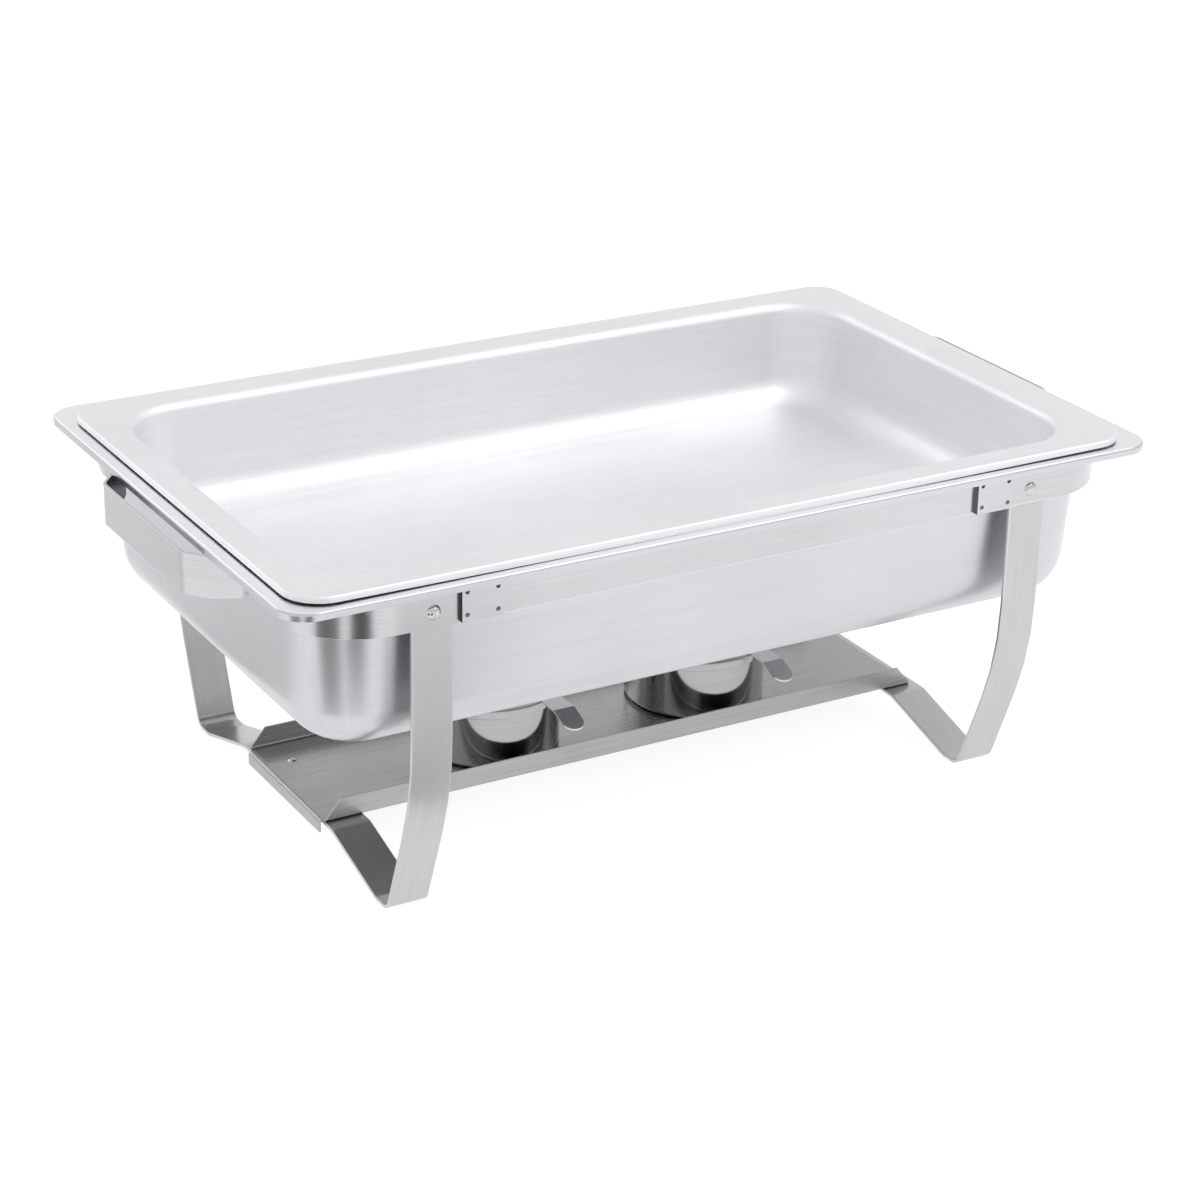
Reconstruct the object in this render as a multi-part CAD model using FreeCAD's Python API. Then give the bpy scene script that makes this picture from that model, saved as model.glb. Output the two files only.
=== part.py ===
import FreeCAD, Part
import math
import os

from FreeCAD import Vector

# Chafing dish food warmer, in millimetres.
# Origin: on the floor, below the middle of the pans. +X runs along the pans to the
# right, -Y is the front and +Z is up. All four feet stand on z = 0.

# ---- driving dimensions ---------------------------------------------------------

# Food pan: full gastronorm size, lying a little off centre with the play it has
FOOD_RIM_LENGTH = 530.0
FOOD_RIM_WIDTH = 325.0
FOOD_RIM_CORNER = 22.0
FOOD_DEPTH = 65.0
FOOD_MOUTH_LENGTH = 490.0
FOOD_MOUTH_WIDTH = 285.0
FOOD_MOUTH_CORNER = 40.0
FOOD_DRAFT = 7.0
FOOD_FLOOR_RADIUS = 18.0
FOOD_SHIFT_X = -2.3
FOOD_SHIFT_Y = -4.4

# Water pan: hangs in the frame by its rim and carries the food pan
RIM_MARGIN = 10.5
WATER_RIM_CORNER = 18.0
WATER_RIM_HEIGHT = 205.0
WATER_DEPTH = 100.0
WATER_MOUTH_LENGTH = 513.0
WATER_MOUTH_WIDTH = 312.0
WATER_MOUTH_CORNER = 45.0
WATER_DRAFT = 7.5
WATER_FLOOR_RADIUS = 28.0

# Sheet metal shared by both pans
PAN_SHEET = 0.8
RIM_LIP = 4.5
RIM_LIP_BEND = 1.6
MOUTH_BEND = 3.2

# Frame: one loop of flat strap
STRAP_HEIGHT = 24.0
STRAP_THICKNESS = 2.0
FRAME_LENGTH = 523.0
FRAME_WIDTH = 332.0
FRAME_CORNER = 50.0
HANDLE_REACH = 23.5
HANDLE_FLAT = 112.0
HANDLE_SLOPE = 29.0
HANDLE_JOGGLE = 14.0
HANDLE_BEND = 9.0
JOINT_X = 164.0
JOINT_GAP = 0.4

# Splice plates over the rail joints, with their spot weld dents
PLATE_LENGTH = 24.0
PLATE_HEIGHT = 21.0
PLATE_THICKNESS = 3.0
PLATE_DROP = 13.5
DENT_PITCH_X = 18.0
DENT_PITCH_Z = 13.0
DENT_RADIUS = 1.3
DENT_DEPTH = 0.7

# Legs: one W-shaped strap at each end, pivoting on two rivets
LEG_X = 191.0
LEG_WIDTH = 24.0
LEG_PIVOT_DROP = 16.0
LEG_BEND_HEIGHT = 84.0
LEG_BEND_RADIUS = 180.0
LEG_LEAN = 21.0
FOOT_FLAT = 14.0
FOOT_BEND = 8.0
RISE_BEND = 15.0
CROSS_HALF = 61.0

# Pivot rivets
RIVET_SHANK = 2.5
RIVET_HEAD = 4.2
RIVET_DOME = 2.4
RIVET_TAIL = 1.4

# Fuel shelf: shallow channel lying on the cross straps of the legs
SHELF_TOP = 19.0
SHELF_SHEET = 1.0
SHELF_LEFT = -203.0
SHELF_RIGHT = 198.0
SHELF_WIDTH = 106.0
SHELF_FLANGE = 12.0
SHELF_CHAMFER = 10.0
SHELF_LIP = 7.0
SHELF_BEND = 1.8
STUD_X = -187.0
STUD_Y = 27.0
STUD_RADIUS = 3.2
STUD_DOME = 1.4

# Fuel cups, their lids and dampers
CUP_X = 72.0
CUP_RADIUS = 43.0
CUP_HEIGHT = 37.2
CUP_FLOOR_RADIUS = 3.0
LID_SKIRT = 5.3
LID_BEND = 1.1
PORT_RADIUS = 22.0
DAMPER_SHEET = 1.0
DAMPER_RADIUS = 27.0
DAMPER_PIVOT = 34.0
DAMPER_EAR = 6.0
DAMPER_SHANK = 1.6
TAB_OFFSET = 20.0
TAB_WIDTH = 13.5
TAB_REACH = 57.0
TAB_SLOPE = 20.0
TAB_DROP_LENGTH = 18.0

# Fits
REST_GAP = 0.05
RUNNING_GAP = 0.06
SLIDING_GAP = 0.3

# ---- derived dimensions ---------------------------------------------------------

FOOD_RIM_HEIGHT = WATER_RIM_HEIGHT + RIM_LIP + REST_GAP
RAIL_TOP = WATER_RIM_HEIGHT - PAN_SHEET - REST_GAP
RAIL_BOTTOM = RAIL_TOP - STRAP_HEIGHT
HANDLE_TOP = WATER_RIM_HEIGHT - RIM_LIP - 2 * REST_GAP
HANDLE_DROP = RAIL_TOP - HANDLE_TOP
PIVOT_HEIGHT = WATER_RIM_HEIGHT - LEG_PIVOT_DROP
RAIL_OUTER_Y = FRAME_WIDTH / 2
RAIL_INNER_Y = RAIL_OUTER_Y - STRAP_THICKNESS
LEG_OUTER_Y = RAIL_INNER_Y - SLIDING_GAP
LEG_MID_Y = LEG_OUTER_Y - STRAP_THICKNESS / 2
CROSS_TOP = SHELF_TOP - SHELF_SHEET - REST_GAP
LID_TOP = SHELF_TOP + REST_GAP + CUP_HEIGHT + PAN_SHEET + REST_GAP

UP = Vector(0, 0, 1)
ALONG_X = Vector(1, 0, 0)
ALONG_Y = Vector(0, 1, 0)
ORIGIN = Vector(0, 0, 0)


# ---- bent strap and sheet outlines ----------------------------------------------

def unit(vector):
    return Vector(vector).normalize()


def turn_angle(before, corner, after):
    incoming = unit(corner - before)
    outgoing = unit(after - corner)
    return incoming.getAngle(outgoing)


def offset_points(points, normal, distance):
    """Move an open path sideways by distance, with mitred corners."""
    moved = []
    last = len(points) - 1
    for index, point in enumerate(points):
        incoming = unit(points[max(index, 1)] - points[max(index, 1) - 1])
        outgoing = unit(points[min(index, last - 1) + 1] - points[min(index, last - 1)])
        side = unit(normal.cross(incoming) + normal.cross(outgoing))
        stretch = side.dot(normal.cross(incoming))
        moved.append(point + side * (distance / stretch))
    return moved


def rounded_edges(points, radii):
    """Edges along an open path, with a tangent arc of the given radius at each corner."""
    edges = []
    start = points[0]
    for index in range(1, len(points) - 1):
        corner = points[index]
        turn = turn_angle(points[index - 1], corner, points[index + 1])
        reach = radii[index - 1] * math.tan(turn / 2)
        incoming = unit(corner - points[index - 1])
        outgoing = unit(points[index + 1] - corner)
        arc_start = corner - incoming * reach
        arc_end = corner + outgoing * reach
        inward = unit(outgoing - incoming)
        rise = radii[index - 1] * (1 / math.cos(turn / 2) - 1)
        edges.append(Part.LineSegment(start, arc_start).toShape())
        edges.append(Part.Arc(arc_start, corner + inward * rise, arc_end).toShape())
        start = arc_end
    edges.append(Part.LineSegment(start, points[-1]).toShape())
    return edges


def bent_strap(points, radii, normal, thickness, width):
    """A flat strap bent along a path.

    points and radii describe its middle plane, normal is the direction of its width,
    and the path lies at the low end of that width.
    """
    half = thickness / 2
    sides = []
    for distance in (half, -half):
        side_radii = []
        for index, radius in enumerate(radii):
            before, corner, after = points[index:index + 3]
            left_turn = (corner - before).cross(after - corner).dot(normal) > 0
            side_radii.append(radius - distance if left_turn else radius + distance)
        sides.append(rounded_edges(offset_points(points, normal, distance), side_radii))
    near, far = sides
    caps = []
    for end in (0, -1):
        a = near[end].Vertexes[end].Point
        b = far[end].Vertexes[end].Point
        caps.append(Part.LineSegment(a, b).toShape())
    outline = Part.Wire(Part.__sortEdges__(near + far + caps))
    return Part.Face(outline).extrude(normal * width)


def rounded_rectangle(half_x, half_y, radius, z):
    """Closed wire of four lines and four arcs about the Z axis."""
    edges = []
    in_x = half_x - radius
    in_y = half_y - radius
    diagonal = radius * math.sqrt(0.5)
    corners = ((1, -1), (1, 1), (-1, 1), (-1, -1))
    arcs = []
    for sign_x, sign_y in corners:
        centre = Vector(sign_x * in_x, sign_y * in_y, z)
        on_x = centre + Vector(sign_x * radius, 0, 0)
        on_y = centre + Vector(0, sign_y * radius, 0)
        middle = centre + Vector(sign_x * diagonal, sign_y * diagonal, 0)
        ends = (on_y, on_x) if sign_x * sign_y < 0 else (on_x, on_y)
        arcs.append((ends[0], middle, ends[1]))
    for index, (start, middle, end) in enumerate(arcs):
        edges.append(Part.Arc(start, middle, end).toShape())
        next_start = arcs[(index + 1) % len(arcs)][0]
        edges.append(Part.LineSegment(end, next_start).toShape())
    return Part.Wire(edges)


def rounded_block(half_x, half_y, radius, bottom, top):
    outline = rounded_rectangle(half_x, half_y, radius, bottom)
    return Part.Face(outline).extrude(UP * (top - bottom))


def edges_on_level(shape, z):
    level = []
    for edge in shape.Edges:
        box = edge.BoundBox
        if abs(box.ZMin - z) < 1e-4 and abs(box.ZMax - z) < 1e-4:
            level.append(edge)
    return level


def one_solid(shape):
    return shape.Solids[0] if len(shape.Solids) == 1 else shape


# ---- pans -----------------------------------------------------------------------

def pan_body(mouth_x, mouth_y, corner, draft, top, bottom, floor_radius):
    """Tapered body between the mouth and the floor, with a rounded floor edge."""
    body = Part.makeLoft([
        rounded_rectangle(mouth_x, mouth_y, corner, top),
        rounded_rectangle(mouth_x - draft, mouth_y - draft, corner - draft, bottom),
    ], True, True)
    return body.makeFillet(floor_radius, edges_on_level(body, bottom))


def pan(rim_x, rim_y, rim_corner, rim_height, mouth_x, mouth_y, corner, depth, draft, floor_radius):
    """Pressed pan with a flat rim, a turned-down rim edge and a rounded mouth.

    rim_x, rim_y, mouth_x and mouth_y are half sizes. The mouth is the outside of the wall.
    """
    sheet = PAN_SHEET
    floor = rim_height - depth
    rim_under = rim_height - sheet
    lip_end = rim_height - RIM_LIP

    outside = pan_body(mouth_x, mouth_y, corner, draft, rim_under, floor, floor_radius)
    rim = rounded_block(rim_x, rim_y, rim_corner, lip_end, rim_height)
    rim = rim.makeFillet(RIM_LIP_BEND, edges_on_level(rim, rim_height))

    under_rim = rounded_block(rim_x - sheet, rim_y - sheet, rim_corner - sheet, lip_end - 1, rim_under)
    under_rim = under_rim.makeFillet(RIM_LIP_BEND - sheet, edges_on_level(under_rim, rim_under))
    under_rim = under_rim.cut(outside)
    mouth_edges = []
    for edge in edges_on_level(under_rim, rim_under):
        box = edge.BoundBox
        near_mouth_x = max(abs(box.XMin), abs(box.XMax)) < mouth_x + sheet
        near_mouth_y = max(abs(box.YMin), abs(box.YMax)) < mouth_y + sheet
        if near_mouth_x and near_mouth_y:
            mouth_edges.append(edge)
    under_rim = under_rim.makeFillet(MOUTH_BEND, mouth_edges)

    inside = pan_body(mouth_x - sheet, mouth_y - sheet, corner - sheet, draft,
                      rim_height, floor + sheet, floor_radius - sheet)
    above = rounded_block(rim_x + 1, rim_y + 1, rim_corner, rim_height, rim_height + 1)
    cavity = above.fuse(inside)
    cavity = cavity.makeFillet(MOUTH_BEND + sheet, mouth_loop(cavity, rim_height, mouth_x, mouth_y))

    return one_solid(outside.fuse(rim).cut(under_rim).cut(cavity))


def mouth_loop(shape, z, mouth_x, mouth_y):
    loop = []
    for edge in edges_on_level(shape, z):
        box = edge.BoundBox
        reach_x = max(abs(box.XMin), abs(box.XMax))
        reach_y = max(abs(box.YMin), abs(box.YMax))
        if reach_x <= mouth_x and reach_y <= mouth_y:
            loop.append(edge)
    return loop


def food_pan():
    blank = pan(FOOD_RIM_LENGTH / 2, FOOD_RIM_WIDTH / 2, FOOD_RIM_CORNER, FOOD_RIM_HEIGHT,
                FOOD_MOUTH_LENGTH / 2, FOOD_MOUTH_WIDTH / 2, FOOD_MOUTH_CORNER,
                FOOD_DEPTH, FOOD_DRAFT, FOOD_FLOOR_RADIUS)
    return blank.translated(Vector(FOOD_SHIFT_X, FOOD_SHIFT_Y, 0))


def water_pan():
    return pan(FOOD_RIM_LENGTH / 2 + RIM_MARGIN, FOOD_RIM_WIDTH / 2 + RIM_MARGIN,
               WATER_RIM_CORNER, WATER_RIM_HEIGHT,
               WATER_MOUTH_LENGTH / 2, WATER_MOUTH_WIDTH / 2, WATER_MOUTH_CORNER,
               WATER_DEPTH, WATER_DRAFT, WATER_FLOOR_RADIUS)


# ---- frame ----------------------------------------------------------------------

def rivet_hole(x, y, radius):
    start = Vector(x, y - 4 * STRAP_THICKNESS, PIVOT_HEIGHT)
    return Part.makeCylinder(radius, 8 * STRAP_THICKNESS, start, ALONG_Y)


def end_rail(side):
    """U-shaped strap around one end, with the handle bent outwards. side is -1 or 1."""
    half = STRAP_THICKNESS / 2
    end_x = FRAME_LENGTH / 2 - half
    long_y = FRAME_WIDTH / 2 - half
    handle_x = end_x + HANDLE_REACH
    flat = HANDLE_FLAT / 2
    tip = JOINT_X + JOINT_GAP / 2
    outline = [
        (tip, -long_y), (end_x, -long_y), (end_x, -flat - HANDLE_SLOPE), (handle_x, -flat),
        (handle_x, flat), (end_x, flat + HANDLE_SLOPE), (end_x, long_y), (tip, long_y),
    ]
    points = [Vector(side * x, y, RAIL_BOTTOM - HANDLE_DROP) for x, y in outline]
    corner = FRAME_CORNER - half
    radii = [corner, HANDLE_BEND, HANDLE_BEND, HANDLE_BEND, HANDLE_BEND, corner]
    blank = bent_strap(points, radii, UP, STRAP_THICKNESS, STRAP_HEIGHT + HANDLE_DROP)
    rail = blank.common(joggled_band(side))
    for y in (-long_y, long_y):
        rail = rail.cut(rivet_hole(side * LEG_X, y, RIVET_SHANK))
    return one_solid(rail)


def joggled_band(side):
    """Block along X whose height steps down at the handle, to pass under the pan's rim edge."""
    high_y = HANDLE_FLAT / 2 + HANDLE_SLOPE
    low_y = high_y - HANDLE_JOGGLE
    steps = [(-FRAME_WIDTH, 0), (-high_y, 0), (-low_y, HANDLE_DROP),
             (low_y, HANDLE_DROP), (high_y, 0), (FRAME_WIDTH, 0)]
    upper = [Vector(0, y, RAIL_TOP - drop) for y, drop in steps]
    lower = [Vector(0, y, RAIL_BOTTOM - drop) for y, drop in reversed(steps)]
    outline = Part.makePolygon(upper + lower + upper[:1])
    return Part.Face(outline).extrude(ALONG_X * (side * FRAME_LENGTH))


def side_rail(side):
    """Straight strap between the two end rails. side is -1 for the front, 1 for the back."""
    length = 2 * JOINT_X - JOINT_GAP
    near = RAIL_OUTER_Y if side < 0 else -RAIL_INNER_Y
    corner = Vector(-length / 2, -near, RAIL_BOTTOM)
    return Part.makeBox(length, STRAP_THICKNESS, STRAP_HEIGHT, corner)


def splice_plate(side_x, side_y):
    """Plate over a rail joint, with four spot weld dents in its outer face."""
    middle_z = WATER_RIM_HEIGHT - PLATE_DROP
    inner = side_y * RAIL_OUTER_Y
    outer = side_y * (RAIL_OUTER_Y + PLATE_THICKNESS)
    corner = Vector(side_x * JOINT_X - PLATE_LENGTH / 2, min(inner, outer), middle_z - PLATE_HEIGHT / 2)
    plate = Part.makeBox(PLATE_LENGTH, PLATE_THICKNESS, PLATE_HEIGHT, corner)
    for step_x in (-0.5, 0.5):
        for step_z in (-0.5, 0.5):
            x = side_x * JOINT_X + step_x * DENT_PITCH_X
            z = middle_z + step_z * DENT_PITCH_Z
            start = Vector(x, outer - side_y * DENT_DEPTH, z)
            dent = Part.makeCone(DENT_RADIUS / 2, DENT_RADIUS, DENT_DEPTH, start, ALONG_Y * side_y)
            plate = plate.cut(dent)
    return one_solid(plate)


def dome_head(radius, rise):
    """Spherical cap standing on the XY plane."""
    ball = (radius ** 2 + rise ** 2) / (2 * rise)
    above_base = Part.makeCylinder(2 * radius, 2 * rise)
    return Part.makeSphere(ball, Vector(0, 0, rise - ball)).common(above_base)


def leg_pivot_rivet(side_x, side_y):
    """Rivet along Y: dome on the rail, shank through rail and leg, flat tail inside."""
    tail_end = LEG_OUTER_Y - STRAP_THICKNESS - RUNNING_GAP - RIVET_TAIL
    start = UP * tail_end
    shank = Part.makeCylinder(RIVET_SHANK, RAIL_OUTER_Y - tail_end, start)
    tail = Part.makeCylinder(RIVET_HEAD, RIVET_TAIL, start)
    head = dome_head(RIVET_HEAD, RIVET_DOME).translated(UP * RAIL_OUTER_Y)
    rivet = one_solid(shank.fuse([tail, head]))
    rivet.rotate(ORIGIN, ALONG_X, -90 * side_y)
    rivet.translate(Vector(side_x * LEG_X, 0, PIVOT_HEIGHT))
    return rivet


# ---- legs -----------------------------------------------------------------------

def leg(side):
    """One strap from the front rivet down to a foot, under the shelf and up to the back rivet."""
    half = STRAP_THICKNESS / 2
    lean = math.tan(math.radians(LEG_LEAN))
    foot_y = LEG_MID_Y - (LEG_BEND_HEIGHT - half) * lean
    rise_y = foot_y - FOOT_FLAT
    top = PIVOT_HEIGHT + LEG_WIDTH / 2
    front_half = [
        (-LEG_MID_Y, top), (-LEG_MID_Y, LEG_BEND_HEIGHT), (-foot_y, half),
        (-rise_y, half), (-CROSS_HALF, CROSS_TOP - half),
    ]
    outline = front_half + [(-y, z) for y, z in reversed(front_half)]
    low_x = side * LEG_X - LEG_WIDTH / 2
    points = [Vector(low_x, y, z) for y, z in outline]
    bends = [LEG_BEND_RADIUS, FOOT_BEND, RISE_BEND, RISE_BEND]
    strap = bent_strap(points, bends + bends[::-1], ALONG_X, STRAP_THICKNESS, LEG_WIDTH)
    return one_solid(rounded_leg_tops(strap, side).cut(leg_holes(side)))


def rounded_leg_tops(strap, side):
    """Trim both ends of the strap to a half circle about the pivot."""
    width = 2 * FRAME_WIDTH
    corner = Vector(side * LEG_X - LEG_WIDTH, -width / 2, PIVOT_HEIGHT)
    blank = Part.makeBox(2 * LEG_WIDTH, width, LEG_WIDTH, corner)
    keep = Part.makeCylinder(LEG_WIDTH / 2, width, Vector(side * LEG_X, -width / 2, PIVOT_HEIGHT), ALONG_Y)
    return strap.cut(blank.cut(keep))


def leg_holes(side):
    front = rivet_hole(side * LEG_X, -LEG_MID_Y, RIVET_SHANK + RUNNING_GAP)
    back = rivet_hole(side * LEG_X, LEG_MID_Y, RIVET_SHANK + RUNNING_GAP)
    return front.fuse(back)


# ---- fuel shelf -----------------------------------------------------------------

def fuel_shelf():
    """Channel with its long edges turned up and a hook lip turned down at its left end."""
    half = SHELF_SHEET / 2
    wall_y = SHELF_WIDTH / 2 - half
    flange_top = SHELF_TOP + SHELF_FLANGE
    base = SHELF_TOP - half
    outline = [(-wall_y, flange_top), (-wall_y, base), (wall_y, base), (wall_y, flange_top)]
    points = [Vector(SHELF_LEFT, y, z) for y, z in outline]
    bends = [SHELF_BEND, SHELF_BEND]
    channel = bent_strap(points, bends, ALONG_X, SHELF_SHEET, SHELF_RIGHT - SHELF_LEFT)
    for end, outward in ((SHELF_LEFT, -1), (SHELF_RIGHT, 1)):
        channel = channel.cut(flange_chamfer(end, outward))
    shelf = channel.fuse(shelf_lip()).cut(stud_blank(STUD_RADIUS / 2, SHELF_SHEET * 2))
    return one_solid(shelf.removeSplitter())


def flange_chamfer(end, outward):
    """Wedge that slants one end of both upturned edges."""
    top = SHELF_TOP + SHELF_FLANGE
    corners = [Vector(end, -SHELF_WIDTH, SHELF_TOP), Vector(end, -SHELF_WIDTH, top),
               Vector(end - outward * SHELF_CHAMFER, -SHELF_WIDTH, top)]
    return Part.Face(Part.makePolygon(corners + corners[:1])).extrude(ALONG_Y * (2 * SHELF_WIDTH))


def shelf_lip():
    """Turned-down lip that hooks over the outer edge of the left cross strap."""
    half = SHELF_SHEET / 2
    base = SHELF_TOP - half
    lip_x = SHELF_LEFT - SHELF_BEND
    width = SHELF_WIDTH - 4 * SHELF_BEND
    outline = [(SHELF_LEFT + SHELF_BEND, base), (lip_x, base), (lip_x, base - half - SHELF_LIP)]
    points = [Vector(x, -width / 2, z) for x, z in outline]
    return bent_strap(points, [SHELF_BEND], ALONG_Y, SHELF_SHEET, width)


def stud_blank(radius, height):
    start = Vector(STUD_X, STUD_Y, SHELF_TOP - SHELF_SHEET)
    return Part.makeCylinder(radius, height, start, UP)


def shelf_stud():
    """Round-headed stud set in the shelf, flush underneath."""
    head = dome_head(STUD_RADIUS, STUD_DOME).translated(Vector(STUD_X, STUD_Y, SHELF_TOP))
    return one_solid(head.fuse(stud_blank(STUD_RADIUS / 2, SHELF_SHEET)))


# ---- fuel cups ------------------------------------------------------------------

def fuel_cup(side):
    """Straight cup with a rounded floor edge, standing on the shelf."""
    foot = Vector(side * CUP_X, 0, SHELF_TOP + REST_GAP)
    outside = Part.makeCylinder(CUP_RADIUS, CUP_HEIGHT, foot, UP)
    outside = outside.makeFillet(CUP_FLOOR_RADIUS, edges_on_level(outside, foot.z))
    floor = foot + UP * PAN_SHEET
    inside = Part.makeCylinder(CUP_RADIUS - PAN_SHEET, CUP_HEIGHT, floor, UP)
    inside = inside.makeFillet(CUP_FLOOR_RADIUS - PAN_SHEET, edges_on_level(inside, floor.z))
    return one_solid(outside.cut(inside))


def cup_lid(side):
    """Cap with a flame port in the middle and a skirt over the cup's mouth."""
    outer = CUP_RADIUS + SLIDING_GAP + PAN_SHEET
    foot = Vector(side * CUP_X, 0, LID_TOP - LID_SKIRT)
    cap = Part.makeCylinder(outer, LID_SKIRT, foot, UP)
    cap = cap.makeFillet(LID_BEND, edges_on_level(cap, LID_TOP))
    hollow = Part.makeCylinder(outer - PAN_SHEET, LID_SKIRT - PAN_SHEET, foot, UP)
    hollow = hollow.makeFillet(LID_BEND - PAN_SHEET, edges_on_level(hollow, LID_TOP - PAN_SHEET))
    port = Part.makeCylinder(PORT_RADIUS, LID_SKIRT, foot, UP)
    pivot = Part.makeCylinder(DAMPER_SHANK, LID_SKIRT, foot + ALONG_Y * DAMPER_PIVOT, UP)
    return one_solid(cap.cut(hollow).cut(port).cut(pivot))


def damper(side):
    """Disc over the flame port, with an ear for its rivet and a bent-down finger tab."""
    base = Vector(side * CUP_X, 0, LID_TOP + REST_GAP)
    disc = Part.makeCylinder(DAMPER_RADIUS, DAMPER_SHEET, base, UP)
    ear = Part.makeCylinder(DAMPER_EAR, DAMPER_SHEET, base + ALONG_Y * DAMPER_PIVOT, UP)
    neck = Part.makeBox(2 * DAMPER_EAR, DAMPER_PIVOT, DAMPER_SHEET, base - ALONG_X * DAMPER_EAR)
    plate = disc.fuse(ear).fuse(neck).fuse(finger_tab(base))
    hole = Part.makeCylinder(DAMPER_SHANK + RUNNING_GAP, DAMPER_SHEET, base + ALONG_Y * DAMPER_PIVOT, UP)
    return one_solid(plate.cut(hole).removeSplitter())


def finger_tab(base):
    """Strip that runs to the front past the lid and bends down to a rounded tip."""
    half = DAMPER_SHEET / 2
    slope = math.radians(TAB_SLOPE)
    low_x = base.x + TAB_OFFSET - TAB_WIDTH / 2
    middle_z = base.z + half
    bend = Vector(low_x, -TAB_REACH, middle_z)
    tip = bend + Vector(0, -math.cos(slope), -math.sin(slope)) * TAB_DROP_LENGTH
    strip = bent_strap([Vector(low_x, 0, middle_z), bend, tip], [2 * DAMPER_SHEET],
                       ALONG_X, DAMPER_SHEET, TAB_WIDTH)
    round_middle = tip.y + TAB_WIDTH / 2
    corner = Vector(low_x, round_middle - TAB_WIDTH, base.z - TAB_DROP_LENGTH)
    end_block = Part.makeBox(TAB_WIDTH, TAB_WIDTH, 2 * TAB_DROP_LENGTH, corner)
    keep = Part.makeCylinder(TAB_WIDTH / 2, 2 * TAB_DROP_LENGTH,
                             Vector(low_x + TAB_WIDTH / 2, round_middle, corner.z), UP)
    return strip.cut(end_block.cut(keep))


def damper_rivet(side):
    """Small rivet along Z that holds the damper on the lid."""
    seat = LID_TOP - PAN_SHEET
    top = LID_TOP + REST_GAP + DAMPER_SHEET + RUNNING_GAP
    foot = Vector(side * CUP_X, DAMPER_PIVOT, seat)
    shank = Part.makeCylinder(DAMPER_SHANK, top - seat, foot, UP)
    head = Part.makeCylinder(2 * DAMPER_SHANK, DAMPER_SHANK, Vector(foot.x, foot.y, top), UP)
    head = head.makeFillet(DAMPER_SHANK * 0.8, edges_on_level(head, top + DAMPER_SHANK))
    tail = Part.makeCylinder(2 * DAMPER_SHANK, PAN_SHEET, foot - UP * PAN_SHEET, UP)
    return one_solid(shank.fuse(head).fuse(tail))


# ---- all pieces -----------------------------------------------------------------

SIDES_X = (("left", -1), ("right", 1))
SIDES_Y = (("front", -1), ("back", 1))


def all_pieces():
    pieces = {"food_pan": food_pan(), "water_pan": water_pan(), "fuel_shelf": fuel_shelf(),
              "shelf_stud": shelf_stud()}
    for name, side in SIDES_Y:
        pieces[name + "_side_rail"] = side_rail(side)
    for name, side in SIDES_X:
        pieces[name + "_end_rail"] = end_rail(side)
        pieces[name + "_leg"] = leg(side)
        pieces[name + "_fuel_cup"] = fuel_cup(side)
        pieces[name + "_cup_lid"] = cup_lid(side)
        pieces[name + "_damper"] = damper(side)
        pieces[name + "_damper_rivet"] = damper_rivet(side)
    rivets = []
    for name_y, side_y in SIDES_Y:
        for name_x, side_x in SIDES_X:
            pieces[name_y + "_" + name_x + "_splice_plate"] = splice_plate(side_x, side_y)
            rivets.append(leg_pivot_rivet(side_x, side_y))
    pieces["leg_pivot_rivets"] = Part.makeCompound(rivets)
    return pieces


os.makedirs("parts", exist_ok=True)
for node, shape in all_pieces().items():
    if not shape.isValid():
        raise ValueError(node + " is not a valid shape")
    shape.exportStep(os.path.join("parts", node + ".step"))
    print(node, len(shape.Solids), "solid(s)", round(shape.Volume / 1000, 2), "cm3")
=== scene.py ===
import math

import bmesh
import bpy
from mathutils import Matrix, Vector


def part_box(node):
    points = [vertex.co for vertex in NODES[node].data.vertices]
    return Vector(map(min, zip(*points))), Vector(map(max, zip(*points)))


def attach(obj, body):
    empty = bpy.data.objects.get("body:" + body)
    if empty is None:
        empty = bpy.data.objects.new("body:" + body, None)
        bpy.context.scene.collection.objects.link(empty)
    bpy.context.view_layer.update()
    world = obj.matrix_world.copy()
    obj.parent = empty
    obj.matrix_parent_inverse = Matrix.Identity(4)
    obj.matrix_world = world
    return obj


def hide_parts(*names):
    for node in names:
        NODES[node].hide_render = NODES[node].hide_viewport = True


# Chafing dish food warmer, in metres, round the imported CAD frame.

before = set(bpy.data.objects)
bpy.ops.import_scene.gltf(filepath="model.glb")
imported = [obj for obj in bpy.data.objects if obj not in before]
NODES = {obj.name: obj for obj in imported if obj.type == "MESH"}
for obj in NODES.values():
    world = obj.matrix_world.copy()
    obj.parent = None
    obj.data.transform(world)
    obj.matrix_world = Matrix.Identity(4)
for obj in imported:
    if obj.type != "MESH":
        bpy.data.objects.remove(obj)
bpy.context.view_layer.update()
SIDES = (("left", -1), ("right", 1))
UP = Vector((0, 0, 1))
ALONG_X = Vector((1, 0, 0))

# ---- camera -----------------------------------------------------------------------

CAMERA_PLACE = Vector((-0.837, -1.447, 0.815))
CAMERA_YAW = math.radians(30.17)
CAMERA_PITCH = math.radians(23.32)
CAMERA_ROLL = math.radians(1.04)
CAMERA_LENS_MM = 91.2


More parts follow.
